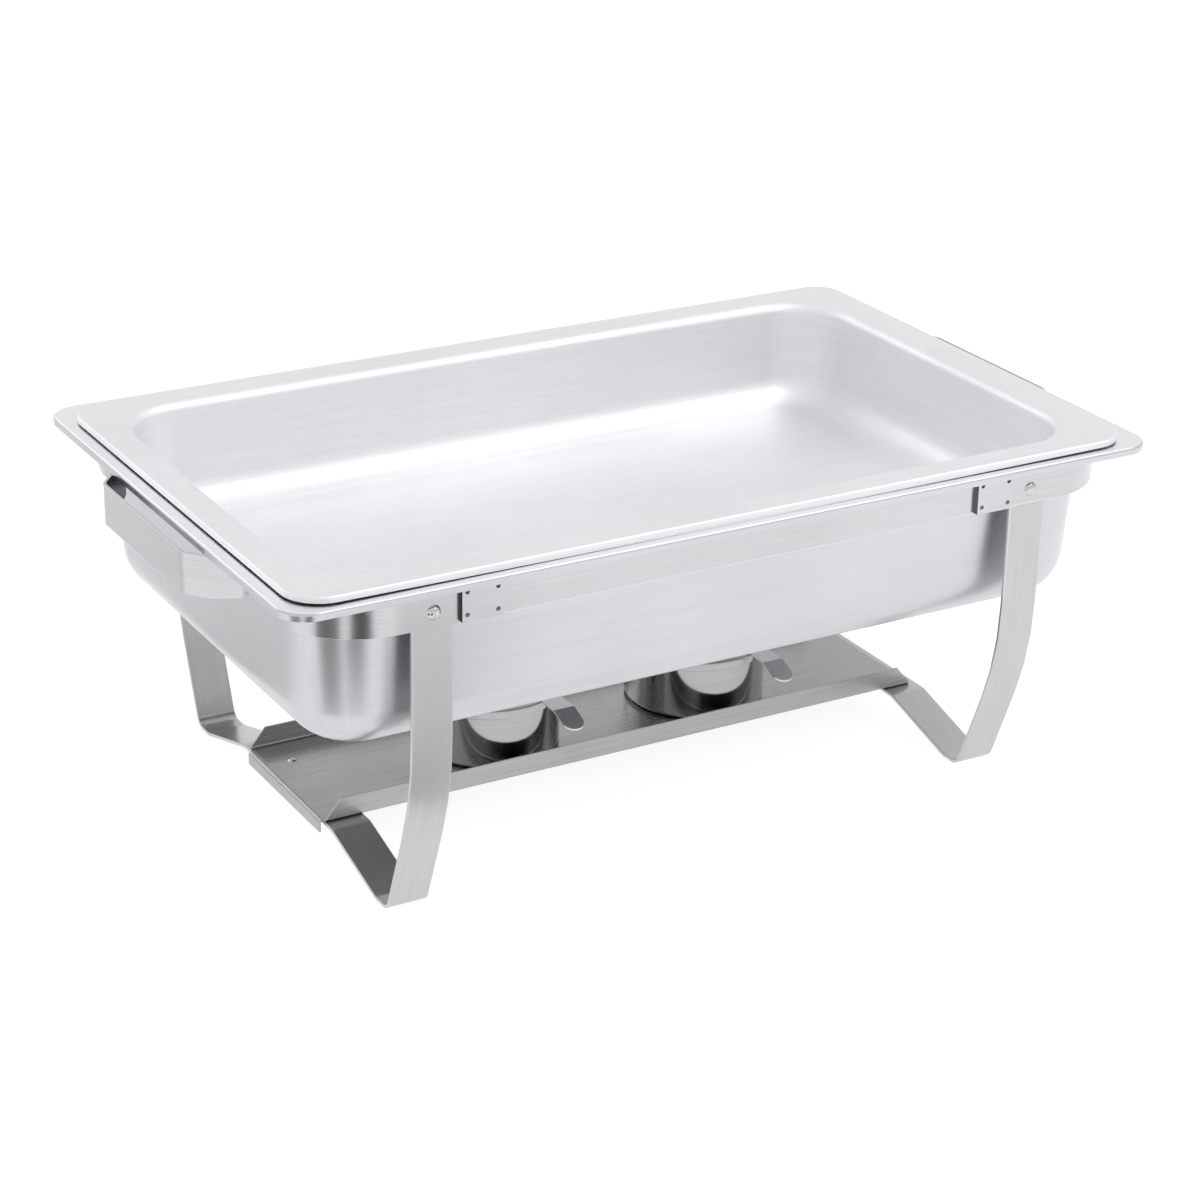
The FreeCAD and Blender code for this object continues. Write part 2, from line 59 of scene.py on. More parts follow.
def add_camera():
    """Camera in front of the left end, looking down on the pans."""
    forward = Vector((math.sin(CAMERA_YAW) * math.cos(CAMERA_PITCH),
                      math.cos(CAMERA_YAW) * math.cos(CAMERA_PITCH),
                      -math.sin(CAMERA_PITCH)))
    level = Vector((math.cos(CAMERA_YAW), -math.sin(CAMERA_YAW), 0))
    upright = level.cross(forward)
    right = level * math.cos(CAMERA_ROLL) + upright * math.sin(CAMERA_ROLL)
    up = right.cross(forward)
    data = bpy.data.cameras.new("camera")
    data.lens = CAMERA_LENS_MM
    camera = bpy.data.objects.new("camera", data)
    turn = Matrix((right, up, -forward)).transposed().to_4x4()
    camera.matrix_world = Matrix.Translation(CAMERA_PLACE) @ turn
    bpy.context.scene.collection.objects.link(camera)
    bpy.context.scene.camera = camera


# ---- studio -----------------------------------------------------------------------

FLOOR_SIZE = 6.0
FLOOR_TONE = 0.40
FLOOR_GLOW = 0.80
WORLD_STRENGTH = 0.86
WHITE = (1, 1, 1, 1)
MATTE_ROUGHNESS = 0.95
MATTE_SHINE = 0.1
LIGHT_TARGET = Vector((0, 0, 0.15))
CARD_HEIGHT = 0.001

# name, place, size, power in watts
LIGHTS = (
    ("top", (0.95, -0.85, 1.9), (1.5, 1.1), 10),
    ("back_left", (-0.9, 1.7, 1.1), (1.2, 0.9), 2.5),
)

# name, start, heading in degrees, length, width at the start and at the end, tone
CARDS = (
    ("front_card", (-0.31, -0.36), -107, 0.95, (0.13, 0.42), 0.03),
    ("corner_card", (-0.40, -0.24), -150, 0.6, (0.12, 0.40), 0.15),
    ("leg_card", (-0.165, -0.215), -64, 0.40, (0.055, 0.09), 0.72),
    ("side_card", (-0.42, 0.05), 120, 1.2, (0.4, 0.9), 0.92),
)


def flat_sheet(name, corners):
    """One four-cornered face of the studio, left out of the object."""
    mesh = bpy.data.meshes.new(name)
    mesh.from_pydata([tuple(c) for c in corners], [], [(0, 1, 2, 3)])
    sheet = bpy.data.objects.new(name, mesh)
    bpy.context.scene.collection.objects.link(sheet)
    return sheet


def matte(name, tone):
    """Dull grey for the studio. tone runs from 0, black, to 1, white."""
    material = bpy.data.materials.new(name)
    material.use_nodes = True
    shader = material.node_tree.nodes["Principled BSDF"]
    shader.inputs["Base Color"].default_value = (tone, tone, tone, 1)
    shader.inputs["Roughness"].default_value = MATTE_ROUGHNESS
    shader.inputs["Specular IOR Level"].default_value = MATTE_SHINE
    return material


def add_floor():
    """White table that glows a little, so that it stays pale under the object."""
    signs = ((-1, -1), (1, -1), (1, 1), (-1, 1))
    floor = flat_sheet("floor", [Vector((x * FLOOR_SIZE, y * FLOOR_SIZE, 0)) for x, y in signs])
    material = matte("floor_white", FLOOR_TONE)
    shader = material.node_tree.nodes["Principled BSDF"]
    shader.inputs["Emission Color"].default_value = WHITE
    shader.inputs["Emission Strength"].default_value = FLOOR_GLOW
    floor.data.materials.append(material)


def add_card(name, near, heading, length, widths, tone):
    """Grey card lying on the table, seen only in the steel. It runs from near along heading."""
    along = Vector((math.cos(math.radians(heading)), math.sin(math.radians(heading)), 0))
    across = Vector((-along.y, along.x, 0))
    start = Vector((*near, CARD_HEIGHT))
    end = start + along * length
    start_width, end_width = widths
    corners = [start - across * start_width / 2, end - across * end_width / 2,
               end + across * end_width / 2, start + across * start_width / 2]
    card = flat_sheet(name, corners)
    card.data.materials.append(matte(name + "_grey", tone))
    card.visible_camera = False
    card.visible_diffuse = False
    card.visible_shadow = False


def add_world():
    """Even white light from all round."""
    world = bpy.data.worlds.new("studio")
    world.use_nodes = True
    background = world.node_tree.nodes["Background"]
    background.inputs["Color"].default_value = WHITE
    background.inputs["Strength"].default_value = WORLD_STRENGTH
    bpy.context.scene.world = world
    bpy.context.scene.view_settings.view_transform = "Standard"


def add_area(name, position, size, power):
    """Rectangular light at position, aimed at the object."""
    data = bpy.data.lights.new(name, "AREA")
    data.shape = "RECTANGLE"
    data.size, data.size_y = size
    data.energy = power
    lamp = bpy.data.objects.new(name, data)
    lamp.location = position
    aim = LIGHT_TARGET - Vector(position)
    lamp.rotation_euler = aim.to_track_quat("-Z", "Y").to_euler()
    bpy.context.scene.collection.objects.link(lamp)


# ---- outlines ---------------------------------------------------------------------

ARC_STEP = math.radians(7)
ARC_LEAST_STEPS = 3

# signs of X and Y in each quarter, and the angle in degrees at which its quarter turn starts
QUARTERS = ((1, 1, 0), (-1, 1, 90), (-1, -1, 180), (1, -1, 270))


def add_run(outline, end, longest):
    """Continue an outline in a straight line to end, in steps no longer than longest."""
    start = outline[-1]
    steps = max(1, math.ceil((end - start).length / longest))
    for index in range(1, steps + 1):
        outline.append(start.lerp(end, index / steps))


def rounded(points, radii, longest):
    """Points along an open path, with a tangent arc of the given radius at each inner point.

    Its straight steps are no longer than longest.
    """
    outline = [points[0]]
    for index, radius in enumerate(radii):
        before, corner, after = points[index:index + 3]
        incoming = (corner - before).normalized()
        outgoing = (after - corner).normalized()
        turn = incoming.angle(outgoing)
        arc_start = corner - incoming * (radius * math.tan(turn / 2))
        middle = corner + (outgoing - incoming).normalized() * (radius / math.cos(turn / 2))
        spoke = arc_start - middle
        add_run(outline, arc_start, longest)
        steps = max(ARC_LEAST_STEPS, math.ceil(turn / ARC_STEP))
        for step in range(1, steps + 1):
            angle = turn * step / steps
            outline.append(middle + spoke * math.cos(angle) + incoming * (radius * math.sin(angle)))
    add_run(outline, points[-1], longest)
    return outline


def quarter_turn(quarter, half_x, half_y, radius, steps):
    """Points (x, y) round one corner of a rounded rectangle."""
    sign_x, sign_y, start = quarter
    points = []
    for step in range(steps + 1):
        angle = math.radians(start + 90 * step / steps)
        points.append((sign_x * (half_x - radius) + radius * math.cos(angle),
                       sign_y * (half_y - radius) + radius * math.sin(angle)))
    return points


def circle(radius, steps):
    """Points (x, y) round a circle."""
    angles = [2 * math.pi * step / steps for step in range(steps)]
    return [(radius * math.cos(angle), radius * math.sin(angle)) for angle in angles]


# ---- meshes from rings ------------------------------------------------------------

SHARP_ANGLE = math.radians(42)


def add_skin(work, rings, loop=False):
    """Skin through rings of equal length.

    loop joins the last ring to the first, else both ends are capped.
    """
    rows = [[work.verts.new(point) for point in ring] for ring in rings]
    if loop:
        rows.append(rows[0])
    for row, following in zip(rows, rows[1:]):
        for index in range(len(row)):
            back = index - 1
            work.faces.new((row[back], row[index], following[index], following[back]))
    if not loop:
        work.faces.new(rows[0])
        work.faces.new(rows[-1])


def new_piece(name, work):
    """Object from a finished bmesh, shaded smooth but for its sharp edges."""
    bmesh.ops.recalc_face_normals(work, faces=work.faces)
    mesh = bpy.data.meshes.new(name)
    work.to_mesh(mesh)
    work.free()
    mesh.shade_smooth()
    mesh.set_sharp_from_angle(angle=SHARP_ANGLE)
    piece = bpy.data.objects.new(name, mesh)
    bpy.context.scene.collection.objects.link(piece)
    even_normals(piece)
    return piece


def loft(name, rings, loop=False):
    """Piece with a single skin through rings."""
    work = bmesh.new()
    add_skin(work, rings, loop)
    return new_piece(name, work)


def even_normals(piece):
    """Keep flat faces flat beside their rounded edges."""
    weighted = piece.modifiers.new("even_normals", "WEIGHTED_NORMAL")
    weighted.keep_sharp = True


def place(piece, node, body, material):
    """The piece stands for a CAD node and takes its place on its body."""
    piece.data.materials.append(material)
    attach(piece, body)
    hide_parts(node)


# ---- pans -------------------------------------------------------------------------

PAN_SHEET = 0.0008
RIM_BEND = 0.0016
RIM_FLAT_START = 4 * RIM_BEND
RIM_FLAT_END = 0.0075
RIM_LIP = 0.0045
LIP_RUN = 0.0015
WALL_RUN = 0.008
CORNER_STEPS = 14
STRAIGHT_STEPS = 10
FLOOR_RINGS = 9
FLOOR_REACH = 0.97

FOOD_PAN = {
    "mouth": (0.245, 0.1425, 0.040), "rim_corner": 0.022, "depth": 0.065, "draft": 0.007,
    "mouth_bend": 0.0065, "floor_bend": 0.022, "crown": 0.0005, "lip_rise": 0.0011,
}
WATER_PAN = {
    "mouth": (0.2565, 0.156, 0.045), "rim_corner": 0.018, "depth": 0.100, "draft": 0.0075,
    "mouth_bend": 0.0040, "floor_bend": 0.028, "crown": 0.0004, "lip_rise": 0,
}


def corner_ring(half_x, half_y, radius, z, middle):
    """Points round a rounded rectangle, the same number on every ring."""
    corners = []
    for quarter in QUARTERS:
        for x, y in quarter_turn(quarter, half_x, half_y, radius, CORNER_STEPS):
            corners.append(middle + Vector((x, y, z)))
    ring = []
    for index, point in enumerate(corners):
        ring.append(point)
        if index % (CORNER_STEPS + 1) == CORNER_STEPS:
            following = corners[(index + 1) % len(corners)]
            for step in range(1, STRAIGHT_STEPS):
                ring.append(point.lerp(following, step / STRAIGHT_STEPS))
    return ring


def pan(node, mouth, rim_corner, depth, draft, mouth_bend, floor_bend, crown, lip_rise):
    """Pressed sheet pan.

    mouth is its half length, half width and corner radius at the top of the wall, and draft how far
    the wall leans in. mouth_bend and floor_bend are the bends at the top and the foot of the wall.
    crown is how far the floor's middle stands up, and lip_rise how much shorter the turned-down lip
    is at the two ends.
    """
    low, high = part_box(node)
    middle = Vector(((low.x + high.x) / 2, (low.y + high.y) / 2, 0))
    rim_x = (high.x - low.x) / 2
    rim_y = (high.y - low.y) / 2
    mouth_x, mouth_y, mouth_corner = mouth

    def rim_ring(inset, z):
        return corner_ring(rim_x - inset, rim_y - inset, rim_corner - inset, z, middle)

    def wall_ring(inset, z):
        return corner_ring(mouth_x - inset, mouth_y - inset, mouth_corner - inset, z, middle)

    def skin(rim_inset, wall_inset, top, floor, lip_bend, top_bend, foot_bend):
        """Rings from the lip's edge over the rim and down the wall to the middle of the floor."""
        rim = [Vector((rim_inset, high.z - RIM_LIP)), Vector((rim_inset, top)),
               Vector((RIM_FLAT_START, top))]
        rings = [rim_ring(p.x, p.y) for p in rounded(rim, [lip_bend], LIP_RUN)]
        for point in rings[0]:
            point.z += lip_rise * ((point.x - middle.x) / rim_x) ** 2
        foot = draft + wall_inset
        wall = [Vector((-RIM_FLAT_END, top)), Vector((wall_inset, top)), Vector((foot, floor)),
                Vector((foot + foot_bend, floor))]
        rings += [wall_ring(p.x, p.y) for p in rounded(wall, [top_bend, foot_bend], WALL_RUN)]
        edge = rings[-1]
        centre = middle + Vector((0, 0, floor))
        for step in range(1, FLOOR_RINGS + 1):
            share = 1 - FLOOR_REACH * step / FLOOR_RINGS
            lift = Vector((0, 0, crown * (1 - share ** 2)))
            rings.append([centre + (point - centre) * share + lift for point in edge])
        return rings

    floor = high.z - depth
    top_side = skin(0, PAN_SHEET, high.z, floor + PAN_SHEET,
                    RIM_BEND, mouth_bend, floor_bend - PAN_SHEET)
    under_side = skin(PAN_SHEET, 0, high.z - PAN_SHEET, floor,
                      RIM_BEND - PAN_SHEET, mouth_bend - PAN_SHEET, floor_bend)
    return loft(node + "_pressed", under_side[::-1] + top_side)


# ---- straps -----------------------------------------------------------------------

STRAP_HALF = 0.001
STRAP_EDGE = 0.00035
STRAP_END_TRIM = STRAP_EDGE * 0.9
STRAP_FLAT_INSET = 4 * STRAP_EDGE
STRAP_RUN = 0.006
EDGE_STEPS = 3
HANDLE_REACH = 0.0235
HANDLE_FLAT = 0.112
HANDLE_SLOPE = 0.029
HANDLE_JOGGLE = 0.014
HANDLE_BEND = 0.009
FRAME_CORNER = 0.049
LEG_BEND_HEIGHT = 0.084
LEG_BEND_RADIUS = 0.180
LEG_LEAN = math.radians(21)
FOOT_FLAT = 0.014
FOOT_BEND = 0.008
RISE_BEND = 0.015
CROSS_HALF = 0.061
CROSS_HEIGHT = 0.01695
LEG_TOP_ARC = range(78, 0, -13)


def strap_section(half_thickness, half_width):
    """Rounded rectangle (through the thickness, across the width), with a row beside each edge."""
    section = []
    for quarter in QUARTERS:
        sign_t, sign_w, _ = quarter
        beside = (sign_t * half_thickness, sign_w * (half_width - STRAP_FLAT_INSET))
        arc = quarter_turn(quarter, half_thickness, half_width, STRAP_EDGE, EDGE_STEPS)
        section += [beside] + arc if sign_t == sign_w else arc + [beside]
    return section


def strap(name, path, across, half_width, offset):
    """Flat strap swept along path, with its width along across.

    half_width(point) is half its width there, and offset(point) moves its middle along across.
    """
    ends = (path[0], path[-1])
    near_start = path[0].lerp(path[1], STRAP_EDGE / (path[1] - path[0]).length)
    near_end = path[-1].lerp(path[-2], STRAP_EDGE / (path[-1] - path[-2]).length)
    path = [path[0], near_start] + path[1:-1] + [near_end, path[-1]]
    rings = []
    for index, point in enumerate(path):
        before = path[max(index - 1, 0)]
        after = path[min(index + 1, len(path) - 1)]
        side = across.cross(after - before).normalized()
        trim = STRAP_END_TRIM if point in ends else 0
        section = strap_section(STRAP_HALF - trim / 2, half_width(point) - trim)
        rings.append([point + side * t + across * (w + offset(point)) for t, w in section])
    return loft(name, rings)


def end_rail(node, side):
    """Strap round one end, stepping down at the bent-out handle."""
    low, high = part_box(node)
    rail_low, rail_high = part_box("back_side_rail")
    middle_z = (rail_low.z + rail_high.z) / 2
    long_y = (rail_low.y + rail_high.y) / 2
    handle_x = max(abs(low.x), abs(high.x)) - STRAP_HALF
    tip = min(abs(low.x), abs(high.x))
    end_x = handle_x - HANDLE_REACH
    flat = HANDLE_FLAT / 2
    high_y = flat + HANDLE_SLOPE
    drop = rail_low.z - low.z
    outline = [(tip, -long_y), (end_x, -long_y), (end_x, -high_y), (handle_x, -flat),
               (handle_x, flat), (end_x, high_y), (end_x, long_y), (tip, long_y)]
    points = [Vector((side * x, y, middle_z)) for x, y in outline]
    bends = [FRAME_CORNER] + [HANDLE_BEND] * 4 + [FRAME_CORNER]

    def joggle(point):
        share = (high_y - abs(point.y)) / HANDLE_JOGGLE
        return -drop * min(max(share, 0), 1)

    half = (rail_high.z - rail_low.z) / 2
    path = rounded(points, bends, STRAP_RUN)
    return strap(node + "_strap", path, UP, lambda point: half, joggle)


def side_rail(node):
    """Straight strap along the front or the back."""
    low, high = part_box(node)
    middle = (low + high) / 2
    ends = [Vector((x, middle.y, middle.z)) for x in (low.x, high.x)]
    half = (high.z - low.z) / 2
    path = rounded(ends, [], STRAP_RUN)
    return strap(node + "_strap", path, UP, lambda point: half, lambda point: 0)


def leg(node):
    """Strap from the front pivot down to a foot, under the shelf and up to the back pivot."""
    low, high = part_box(node)
    half = (high.x - low.x) / 2
    middle_x = (low.x + high.x) / 2
    pivot = high.z - half
    outer_y = high.y - STRAP_HALF
    foot_y = outer_y - (LEG_BEND_HEIGHT - STRAP_HALF) * math.tan(LEG_LEAN)
    front = [(-outer_y, pivot), (-outer_y, LEG_BEND_HEIGHT), (-foot_y, STRAP_HALF),
             (FOOT_FLAT - foot_y, STRAP_HALF), (-CROSS_HALF, CROSS_HEIGHT)]
    outline = front + [(-y, z) for y, z in reversed(front)]
    bends = [LEG_BEND_RADIUS, FOOT_BEND, RISE_BEND, RISE_BEND]
    path = rounded([Vector((middle_x, y, z)) for y, z in outline], bends + bends[::-1], STRAP_RUN)
    rise = [pivot + half * math.sin(math.radians(degrees)) for degrees in LEG_TOP_ARC]
    path = [Vector((middle_x, -outer_y, z)) for z in rise] + path
    path = path + [Vector((middle_x, outer_y, z)) for z in reversed(rise)]

    def round_top(point):
        above = max(point.z - pivot, 0)
        return math.sqrt(half ** 2 - above ** 2)

    return strap(node + "_strap", path, ALONG_X, round_top, lambda point: 0)


# ---- turned pieces ----------------------------------------------------------------

TURN_STEPS = 120
CUP_FLOOR_BEND = 0.003
CUP_EDGE = 0.00025
POLE_RADIUS = 0.00025
LID_BEND = 0.0011
LID_SKIRT = 0.0053
PORT_RADIUS = 0.022
RIVET_HEAD = 0.0042
RIVET_DOME = 0.0024
RIVET_SHANK = 0.0025
RIVET_LENGTH = 0.00576
RIVET_TAIL = 0.0014
RIVET_TURN_STEPS = 32
RIVET_DOME_STEPS = 10


def turned_rings(profile, middle):
    """Circles about a vertical axis, one for each (radius, height) of the profile."""
    rings = []
    for radius, z in profile:
        ring = [Vector((middle.x + x, middle.y + y, z)) for x, y in circle(radius, TURN_STEPS)]
        rings.append(ring)
    return rings


def fuel_cup(node):
    """Drawn cup, open at the top, with a softly rounded mouth."""
    low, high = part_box(node)
    radius = (high.x - low.x) / 2
    wall = PAN_SHEET
    points = [
        (POLE_RADIUS, low.z), (radius, low.z), (radius, high.z), (radius - wall, high.z),
        (radius - wall, low.z + wall), (POLE_RADIUS, low.z + wall),
    ]
    bends = [CUP_FLOOR_BEND, CUP_EDGE, CUP_EDGE, CUP_FLOOR_BEND - wall]
    profile = rounded([Vector(point) for point in points], bends, WALL_RUN)
    return loft(node + "_turned", turned_rings(profile, (low + high) / 2))


def cup_lid(node):
    """Cap with a flame port in the middle."""
    low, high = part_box(node)
    low_z = high.z - LID_SKIRT
    radius = (high.x - low.x) / 2
    wall = PAN_SHEET
    start = Vector((radius - wall / 2, low_z))
    points = [start] + [Vector(point) for point in (
        (radius, low_z), (radius, high.z), (PORT_RADIUS, high.z), (PORT_RADIUS, high.z - wall),
        (radius - wall, high.z - wall), (radius - wall, low_z),
    )] + [start]
    bends = [CUP_EDGE, LID_BEND, CUP_EDGE, CUP_EDGE, LID_BEND - wall, CUP_EDGE]
    profile = rounded(points, bends, LIP_RUN)[:-1]
    return loft(node + "_turned", turned_rings(profile, (low + high) / 2), loop=True)


def pivot_rivets(node):
    """Four domed heads on the rails, with their shanks and flat tails inside, as one piece."""
    low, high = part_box(node)
    rail_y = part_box("back_side_rail")[1].y
    leg_low, leg_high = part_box("right_leg")
    pivot_x = (leg_low.x + leg_high.x) / 2
    pivot_z = (low.z + high.z) / 2
    ball = (RIVET_HEAD ** 2 + RIVET_DOME ** 2) / (2 * RIVET_DOME)
    spread = math.asin(RIVET_HEAD / ball)
    tail = RIVET_TAIL - RIVET_LENGTH
    profile = [(POLE_RADIUS, -RIVET_LENGTH), (RIVET_HEAD, -RIVET_LENGTH), (RIVET_HEAD, tail),
               (RIVET_SHANK, tail), (RIVET_SHANK, 0), (RIVET_HEAD, 0)]
    for step in range(1, RIVET_DOME_STEPS):
        angle = spread * (1 - step / RIVET_DOME_STEPS)
        profile.append((ball * math.sin(angle), ball * math.cos(angle) - ball + RIVET_DOME))
    profile.append((POLE_RADIUS, RIVET_DOME))
    work = bmesh.new()
    for side_x in (-1, 1):
        for side_y in (-1, 1):
            rings = []
            for radius, out in profile:
                y = side_y * (rail_y + out)
                rings.append([(side_x * pivot_x + across, y, pivot_z + up)
                              for across, up in circle(radius, RIVET_TURN_STEPS)])
            add_skin(work, rings)
    return new_piece(node + "_turned", work)


# ---- steel ------------------------------------------------------------------------

# Near-black grey of painted shade, put on inward faces, plate end faces and weld dents.
PAINTED_SHADE = (0.09, 0.09, 0.095)
DENT_PITCH_X = 0.018
DENT_PITCH_Z = 0.013
DENT_RADIUS = 0.0013
DENT_BLUR = 0.15
DENT_SHADE = 0.85
BUMP_HEIGHT = 0.001

# frequency along X, Y and Z, detail and roughness of the noises. The grain's frequency is each
# steel's own.
GRAIN_NOISE = (4, 0.65)
DRAWN_NOISE = ((420, 420, 5), 3, 0.6)
SMUDGE_NOISE = ((9, 9, 9), 5, 0.55)
SPECK_NOISE = ((260, 260, 260), 2, 0.5)
WAVE_NOISE = ((11, 11, 11), 1, 0.4)

NOISE_MIDDLE = 0.5

# where each soft step begins and ends
GRAIN_STEP = (0.3, 0.7)
SMUDGE_STEP = (0.36, 0.66)
SPECK_STEP = (0.66, 0.76)
CORNER_STEP = (0.12, 0.4)
LEVEL_STEP = (0.6, 0.85)
UPWARD_STEP = (0.75, 0.95)
SIDEWAYS_STEP = (0.5, 0.8)
INWARD_STEP = (0.1, 0.3)
RIGHTWARD_STEP = (0.8, 0.9)
EDGE_STEP = (0.52, 0.60)

# how much each effect counts
GRAIN_SHARE = 0.6
SMUDGE_SHARE = 0.4
SCRATCH_SHARE = 0.4
WORN_SMUDGES = 0.6
WORN_GAIN = 1.15
WORN_LIMIT = 0.95
WORN_ROUGHNESS = 0.7

# numbers of a mix node's colour sockets
MIX_FACTOR = 0
MIX_FIRST = 6
MIX_SECOND = 7
MIX_RESULT = 2


class Graph:
    """Short calls for building one shader."""

    def __init__(self, name):
        self.material = bpy.data.materials.new(name)
        self.material.use_nodes = True
        self.tree = self.material.node_tree
        self.shader = self.tree.nodes["Principled BSDF"]

    def feed(self, socket, value):
        """Set a socket to a plain value, or link it from another node's output."""
        if isinstance(value, bpy.types.NodeSocket):
            self.tree.links.new(value, socket)
        else:
            socket.default_value = value

    def noise(self, coordinates, stretch, detail, roughness):
        """Noise between 0 and 1. stretch is its frequency along X, Y and Z, per metre."""
        mapping = self.tree.nodes.new("ShaderNodeMapping")
        self.feed(mapping.inputs["Vector"], coordinates)
        mapping.inputs["Scale"].default_value = stretch
        noise = self.tree.nodes.new("ShaderNodeTexNoise")
        self.feed(noise.inputs["Vector"], mapping.outputs["Vector"])
        noise.inputs["Scale"].default_value = 1
        noise.inputs["Detail"].default_value = detail
        noise.inputs["Roughness"].default_value = roughness
        return noise.outputs["Fac"]

    def math(self, operation, *values):
        """One sum on numbers."""
        node = self.tree.nodes.new("ShaderNodeMath")
        node.operation = operation
        for socket, value in zip(node.inputs, values):
            self.feed(socket, value)
        return node.outputs["Value"]

    def vector(self, operation, *values):
        """One sum on vectors. Its result is a vector, but for the dot product's number."""
        node = self.tree.nodes.new("ShaderNodeVectorMath")
        node.operation = operation
        for socket, value in zip(node.inputs, values):
            self.feed(socket, value)
        return node.outputs["Value" if operation == "DOT_PRODUCT" else "Vector"]

    def between(self, value, low, high):
        """0 below low, 1 above high, and a smooth step from one to the other."""
        node = self.tree.nodes.new("ShaderNodeMapRange")
        node.interpolation_type = "SMOOTHSTEP"
        self.feed(node.inputs["Value"], value)
        node.inputs["From Min"].default_value = low
        node.inputs["From Max"].default_value = high
        return node.outputs["Result"]

    def mix(self, share, first, second):
        """first where share is 0, second where it is 1."""
        node = self.tree.nodes.new("ShaderNodeMix")
        self.feed(node.inputs["Factor"], share)
        self.feed(node.inputs["A"], first)
        self.feed(node.inputs["B"], second)
        return node.outputs["Result"]

    def mix_color(self, share, first, second):
        """The colour first where share is 0, second where it is 1. A plain colour is (r, g, b)."""
        node = self.tree.nodes.new("ShaderNodeMix")
        node.data_type = "RGBA"
        self.feed(node.inputs[MIX_FACTOR], share)
        for number, color in ((MIX_FIRST, first), (MIX_SECOND, second)):
            self.feed(node.inputs[number], (*color, 1) if isinstance(color, tuple) else color)
        return node.outputs[MIX_RESULT]


def dent_dots(graph, place_of, plate):
    """1 in the four weld dents of a splice plate and 0 round them. All plates mirror each other."""
    low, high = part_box(plate)
    middle = (low + high) / 2
    position = graph.tree.nodes.new("ShaderNodeSeparateXYZ")
    graph.feed(position.inputs[0], place_of)
    along = graph.math("SUBTRACT", graph.math("ABSOLUTE", position.outputs["X"]), abs(middle.x))
    along = graph.math("SUBTRACT", graph.math("ABSOLUTE", along), DENT_PITCH_X / 2)
    upward = graph.math("SUBTRACT", position.outputs["Z"], middle.z)
    upward = graph.math("SUBTRACT", graph.math("ABSOLUTE", upward), DENT_PITCH_Z / 2)
    squares = graph.math("ADD", graph.math("MULTIPLY", along, along),
                         graph.math("MULTIPLY", upward, upward))
    outside = graph.between(graph.math("SQRT", squares),
                            DENT_RADIUS * (1 - DENT_BLUR), DENT_RADIUS * (1 + DENT_BLUR))
    return graph.math("SUBTRACT", 1, outside)


